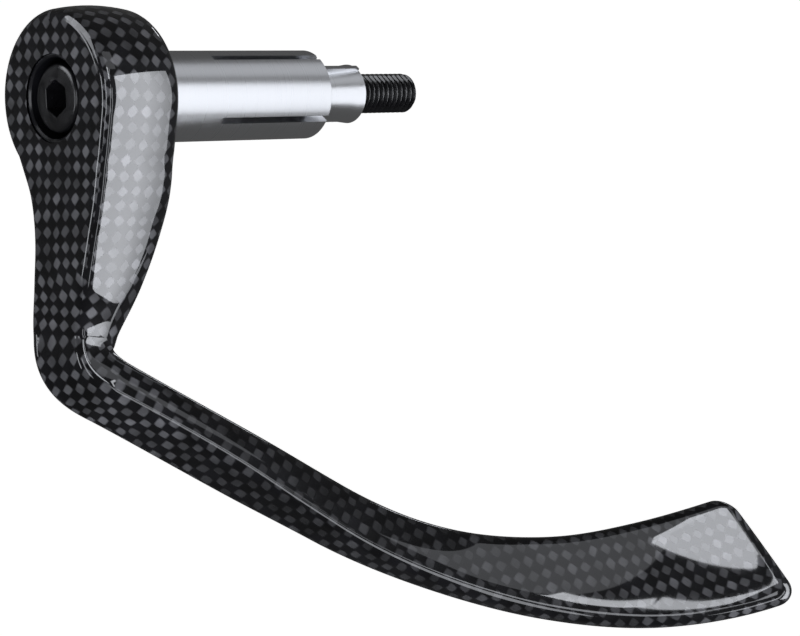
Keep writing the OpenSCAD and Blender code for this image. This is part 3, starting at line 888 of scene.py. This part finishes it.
# %% Node group: lathe lines
lines, lines_in, lines_out = new_group(
    "lathe_lines",
    [("Place", "NodeSocketVector", None), ("Lines per mm", "NodeSocketFloat", 8.0)],
    [("Height", "NodeSocketFloat"), ("Mask", "NodeSocketFloat")])
split = lines.nodes.new("ShaderNodeSeparateXYZ")
lines.links.new(lines_in.outputs["Place"], split.inputs[0])
along_axis = sums(lines, "MULTIPLY", sums(lines, "MULTIPLY", split.outputs[0], 1 / MM),
                  lines_in.outputs["Lines per mm"])
fine = add_node(lines, "ShaderNodeTexNoise", {"Scale": 1.0, "Detail": 3.0},
                noise_dimensions="1D")
lines.links.new(along_axis, fine.inputs["W"])
lines.links.new(fine.outputs[0], lines_out.inputs["Height"])
lines.links.new(fine.outputs[0], lines_out.inputs["Mask"])
print("lathe group sockets:", [s.name for s in lines.interface.items_tree])

# %% [markdown]
# ## Turned aluminium
# Sleeve and nut are bright. The rings of the tool are only a hundredth of a
# millimetre deep here, and they also make the gloss change a little from ring to
# ring, which draws each light out into a soft band.

# %% Material: turned aluminium


def turned_metal(name, color, roughness, bump_depth):
    material, tree, shader = new_material(name)
    place = tree.nodes.new("ShaderNodeTexCoord")
    group = use_group(tree, lines)
    tree.links.new(place.outputs["Object"], group.inputs["Place"])
    bump = add_node(tree, "ShaderNodeBump", {"Strength": 0.5, "Distance": bump_depth})
    tree.links.new(group.outputs["Height"], bump.inputs["Height"])
    tree.links.new(bump.outputs[0], shader.inputs["Normal"])
    spread = add_node(tree, "ShaderNodeMapRange",
                      {"To Min": roughness * 0.8, "To Max": roughness * 1.2})
    tree.links.new(group.outputs["Mask"], spread.inputs["Value"])
    tree.links.new(spread.outputs[0], shader.inputs["Roughness"])
    shader.inputs["Base Color"].default_value = color
    shader.inputs["Metallic"].default_value = 1.0
    return material


aluminium = turned_metal("turned_aluminium", (0.84, 0.85, 0.87, 1), 0.3, 0.01 * MM)
print("turned aluminium:", len(aluminium.node_tree.nodes), "nodes")

# %% [markdown]
# ## Black metals
# The black pieces are steel under black oxide and aluminium under black anodising.
# Both layers are so thin that they keep the marks of the tool. The oxide is a
# little blotchy, where the oil dried unevenly, so its gloss changes from place to
# place.

# %% Materials: black steel and black aluminium
PALER = 2.2


def black_metal(name, color, roughness, blotches):
    material, tree, shader = new_material(name)
    place = tree.nodes.new("ShaderNodeTexCoord")
    group = use_group(tree, lines, {"Lines per mm": 5.0})
    tree.links.new(place.outputs["Object"], group.inputs["Place"])
    bump = add_node(tree, "ShaderNodeBump", {"Strength": 0.4, "Distance": 0.008 * MM})
    tree.links.new(group.outputs["Height"], bump.inputs["Height"])
    tree.links.new(bump.outputs[0], shader.inputs["Normal"])
    cloud = add_node(tree, "ShaderNodeTexNoise", {"Scale": 420.0, "Detail": 4.0})
    tree.links.new(place.outputs["Object"], cloud.inputs["Vector"])
    gloss = add_node(tree, "ShaderNodeMapRange",
                     {"From Min": 0.3, "From Max": 0.7, "To Min": roughness - blotches,
                      "To Max": roughness + blotches})
    tree.links.new(cloud.outputs[0], gloss.inputs["Value"])
    tree.links.new(gloss.outputs[0], shader.inputs["Roughness"])
    tone = add_node(tree, "ShaderNodeMix", data_type="RGBA")
    tone.inputs["A"].default_value = color
    tone.inputs["B"].default_value = tuple(c * PALER for c in color[:3]) + (1,)
    tree.links.new(cloud.outputs[0], tone.inputs["Factor"])
    tree.links.new(tone.outputs["Result"], shader.inputs["Base Color"])
    return material


black_steel = black_metal("black_oxide", (0.003, 0.003, 0.0035, 1), 0.2, 0.08)
black_ring = black_metal("black_anodised", (0.004, 0.004, 0.005, 1), 0.2, 0.05)
for piece, material in ((cad["expander_sleeve"], aluminium), (cad["cone_nut"], aluminium),
                        (cad["head_bush"], black_ring), (cad["bolt_washer"], black_steel),
                        (screw_head, black_steel), (screw_thread, black_steel)):
    piece.data.materials.clear()
    piece.data.materials.append(material)

# %% [markdown]
# ## Broken edges
# The edges of the CAD pieces are broken with a bevel, which leaves their mesh as it is.

# %% Broken edges of the CAD pieces
for name, broken in (("expander_sleeve", 0.15), ("cone_nut", 0.2), ("head_bush", 0.25),
                     ("bolt_washer", 0.1)):
    piece = cad[name]
    edges = piece.modifiers.new("broken edges", "BEVEL")
    edges.width = broken * MM
    edges.segments = 3
    edges.limit_method = "ANGLE"
    edges.angle_limit = math.radians(40)
    normals = piece.modifiers.new("flat faces", "WEIGHTED_NORMAL")
    normals.keep_sharp = True
    print(name, "edges broken by", broken, "mm")

# %% [markdown]
# ## The floor
# A plain pale sweep lies under the part and curves up behind it. It glows by itself,
# so that it comes out almost white, as in a product photo. It is not mirrored in the
# lacquer and sends no light to the part, so only the soft boxes shape it.

# %% Floor
floor_z, sweep_front, flat_end, sweep_r, sweep_top, half_wide = -0.17, -1.2, 0.9, 0.8, 2.4, 3.0
sweep_points, sweep_faces = [], []
sweep_profile = [(sweep_front, floor_z)] + [
    (flat_end + sweep_r * deg_sin(a), floor_z + sweep_r * (1 - deg_cos(a)))
    for a in range(0, 91, 6)] + [(flat_end + sweep_r, sweep_top)]
depth_dir = Vector((-camera_back.x, -camera_back.y, 0)).normalized()
wide_dir = Vector((camera_right.x, camera_right.y, 0)).normalized()
for distance, height in sweep_profile:
    for side in (-half_wide, half_wide):
        p = depth_dir * distance + wide_dir * side
        sweep_points.append((p.x, p.y, height))
for j in range(len(sweep_profile) - 1):
    sweep_faces.append((2 * j, 2 * j + 1, 2 * j + 3, 2 * j + 2))
sweep = link_mesh("floor_sweep", sweep_points, sweep_faces, 1.0)
sweep.data.shade_smooth()
paper, tree, shader = new_material("pale_paper")
shader.inputs["Base Color"].default_value = (0.9, 0.9, 0.9, 1)
shader.inputs["Roughness"].default_value = 0.9
shader.inputs["Emission Color"].default_value = (1, 1, 1, 1)
shader.inputs["Emission Strength"].default_value = 0.95
sweep.data.materials.append(paper)
sweep.visible_glossy = False
sweep.visible_diffuse = False
sweep.visible_shadow = False
print("floor sweep:", len(sweep.data.polygons), "faces")

# %% [markdown]
# ## What each lamp lights
# The light that black pieces need would burn out the bright metal. So the pieces are
# put into two groups, and each lamp is linked to one of them.

# %% Groups of pieces for the lamps


def lit_group(name, pieces):
    group = bpy.data.collections.new(name)
    for piece in pieces:
        group.objects.link(piece)
    return group


bright_metal = lit_group("bright_metal", [cad["expander_sleeve"], cad["cone_nut"]])
dark_pieces = lit_group("dark_pieces", [guard, screw_head, screw_thread, cad["head_bush"],
                                        cad["bolt_washer"]])

# %% [markdown]
# ## Soft boxes
# Glossy lacquer shows what it mirrors. Each soft box is placed by the angles at which
# the part sees it, all at one distance, so that its mirror image falls where the
# photo has a reflection. The lamp itself is not seen by the camera. It can be turned
# about its own axis, and it can fade towards its right edge.

# %% Soft box helper
BOX_DISTANCE, FADE_FROM = 4.0, 0.45
box_color = (0.92, 0.945, 1.0)
part_middle = Vector((0.0, 0.0, -0.03))


def soft_box(name, azimuth, height, wide, tall, radiance, turn=0.0, fade=1.0,
             lights=dark_pieces):
    """A soft box seen from the part at these angles, in degrees, and as large as these angles.

    Its light falls to the share fade at its right edge.
    """
    data = bpy.data.lights.new(name, "AREA")
    data.shape = "RECTANGLE"
    data.size = 2 * BOX_DISTANCE * math.tan(math.radians(wide / 2))
    data.size_y = 2 * BOX_DISTANCE * math.tan(math.radians(tall / 2))
    data.energy = radiance * math.pi * data.size * data.size_y
    data.color = box_color
    if fade < 1.0:
        data.use_nodes = True
        tree = data.node_tree
        across_box = add_node(tree, "ShaderNodeNewGeometry")
        side = tree.nodes.new("ShaderNodeSeparateXYZ")
        tree.links.new(across_box.outputs["Parametric"], side.inputs[0])
        fall = add_node(tree, "ShaderNodeMapRange",
                        {"From Min": FADE_FROM, "To Min": 1.0, "To Max": fade},
                        interpolation_type="SMOOTHSTEP")
        tree.links.new(side.outputs[0], fall.inputs["Value"])
        tree.links.new(fall.outputs[0], tree.nodes["Emission"].inputs["Strength"])
    lamp = bpy.data.objects.new(name, data)
    bpy.context.scene.collection.objects.link(lamp)
    away = Vector((deg_cos(azimuth) * deg_cos(height), deg_sin(azimuth) * deg_cos(height),
                   deg_sin(height)))
    lamp.location = part_middle + away * BOX_DISTANCE
    lamp.rotation_euler = ((-away).to_track_quat("-Z", "Y")
                           @ Quaternion((0, 0, 1), math.radians(turn))).to_euler()
    lamp.visible_camera = False
    lamp.light_linking.receiver_collection = lights
    return lamp


# %% [markdown]
# ## The studio
# Most boxes are only mirrored: they draw the long bright shapes on the walls and the
# thin lines on the edges. Three are fills, which light the cloth and the black metal
# and are not mirrored. The two for the bright metal do both. A faint white world
# keeps the shadows from going quite black.

# %% Soft boxes and world
MIRRORED, FILL, BOTH = "mirrored", "fill", "both"
# name, azimuth, height, wide, tall (degrees), radiance, use, other settings
soft_boxes = [
    ("side_box", -52, -7.5, 44, 60, 9.5, MIRRORED, {"fade": 0.45}),
    ("side_fill", -58, -8, 34, 50, 4.5, FILL, {}),
    ("gap_strip", -86, -13, 4, 44, 6.0, MIRRORED, {}),
    ("ridge_a", 169, -2, 10, 26, 7.0, MIRRORED, {}),
    ("ridge_b", -150, 0, 10, 30, 5.0, MIRRORED, {}),
    ("ridge_c", -106, -14, 7, 44, 5.0, MIRRORED, {}),
    ("low_strip", -97, 5, 4, 16, 5.0, MIRRORED, {}),
    ("tip_box", -104, 26, 10, 14, 10.0, MIRRORED, {}),
    ("tip_streak", -88.4, 28.4, 8, 1.8, 10.0, MIRRORED, {"turn": 39}),
    ("tip_streak_end", -94.2, 21.3, 10, 1.6, 9.0, MIRRORED, {"turn": 68}),
    ("grey_panel", -90, 42, 40, 22, 1.2, MIRRORED, {}),
    ("rear_fill", -150, -12, 46, 56, 2.2, FILL, {}),
    ("low_fill", -150, -50, 40, 30, 4.0, FILL, {}),
    ("rim_low", 134.5, 11, 8, 12, 4.5, MIRRORED, {}),
    ("rim_box", 153, 37, 38, 38, 4.5, MIRRORED, {}),
    ("edge_streak", 21, 32, 9, 2.5, 8.0, MIRRORED, {}),
    ("metal_box", -56, -8, 38, 60, 1.25, BOTH, {"lights": bright_metal}),
    ("metal_top", -42, 46, 70, 24, 0.42, BOTH, {"lights": bright_metal})]
for *placing, use, settings in soft_boxes:
    lamp = soft_box(*placing, **settings)
    lamp.visible_diffuse = use != MIRRORED
    lamp.visible_glossy = use != FILL
world = bpy.data.worlds.new("studio")
bpy.context.scene.world = world
world.use_nodes = True
world_light = world.node_tree.nodes["Background"]
world_light.inputs["Color"].default_value = (1, 1, 1, 1)
world_light.inputs["Strength"].default_value = 0.08
bpy.context.scene.view_settings.view_transform = "Standard"
print(len(soft_boxes), "soft boxes")
